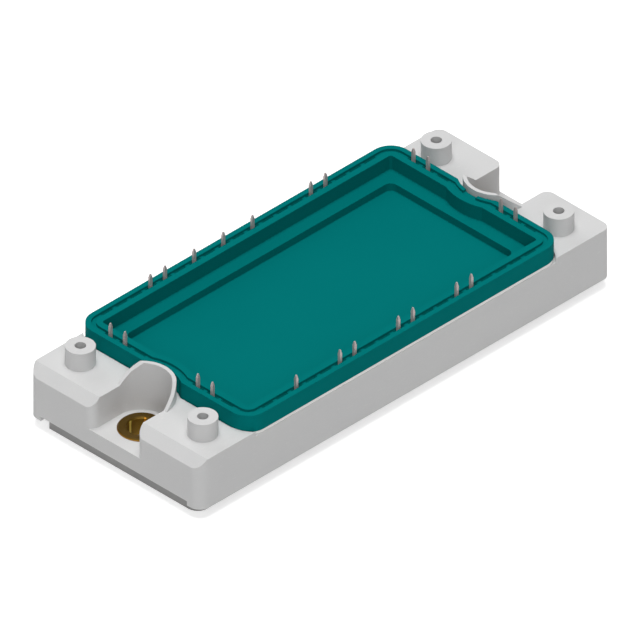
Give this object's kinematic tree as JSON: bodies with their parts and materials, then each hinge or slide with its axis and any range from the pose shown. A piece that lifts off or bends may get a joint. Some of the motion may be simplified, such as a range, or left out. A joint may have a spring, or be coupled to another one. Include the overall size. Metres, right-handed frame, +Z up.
{
  "type": "thyristor module",
  "caption": "Flat power module: metal base plate, light grey moulded frame with screw posts and mounting recesses, teal tray lid, square pins round its rim.",
  "frame": {"origin": "centre of the underside of the base plate, midway between the two mounting holes", "axes": "+X along the module from the bevelled end to the plain end, +Y across it, +Z up from the heat sink face towards the pins"},
  "size_m": [0.1076, 0.045, 0.0192],
  "materials": {
    "base_plate": "nickel-plated copper, satin",
    "housing": "light grey moulded plastic",
    "lid": "teal moulded plastic",
    "bush": "dark turned brass",
    "pin": "tinned copper",
    "glue": "cured silicone adhesive",
    "solder": "dull solder",
    "copper": "bare copper",
    "ceramic": "white alumina",
    "chip": "passivated silicon with a metal face",
    "bond_wire": "bright drawn wire"
  },
  "bodies": {
    "root": {"back_copper": "copper", "base_plate": "base_plate", "bush_far": "bush", "bush_near": "bush", "ceramic_tile": "ceramic", "diode_chip_1": "chip", "diode_chip_2": "chip", "diode_chip_3": "chip", "diode_wires_1": "bond_wire", "diode_wires_2": "bond_wire", "diode_wires_3": "bond_wire", "gate_pad_1": "copper", "gate_pad_2": "copper", "gate_pad_3": "copper", "glue_bead": "glue", "housing": "housing", "lid": "lid", "negative_rail": "copper", "phase_island_1": "copper", "phase_island_2": "copper", "phase_island_3": "copper", "pin_01": "pin", "pin_02": "pin", "pin_03": "pin", "pin_04": "pin", "pin_05": "pin", "pin_06": "pin", "pin_07": "pin", "pin_08": "pin", "pin_09": "pin", "pin_10": "pin", "pin_11": "pin", "pin_12": "pin", "pin_13": "pin", "pin_14": "pin", "pin_15": "pin", "pin_16": "pin", "pin_17": "pin", "pin_18": "pin", "pin_19": "pin", "pin_20": "pin", "pin_21": "pin", "pin_22": "pin", "pin_wires_ends": "bond_wire", "pin_wires_far": "bond_wire", "pin_wires_near": "bond_wire", "positive_rail": "copper", "solder_layer": "solder", "thyristor_chip_1": "chip", "thyristor_chip_2": "chip", "thyristor_chip_3": "chip", "thyristor_wires_1": "bond_wire", "thyristor_wires_2": "bond_wire", "thyristor_wires_3": "bond_wire"}
  },
  "joints": []
}
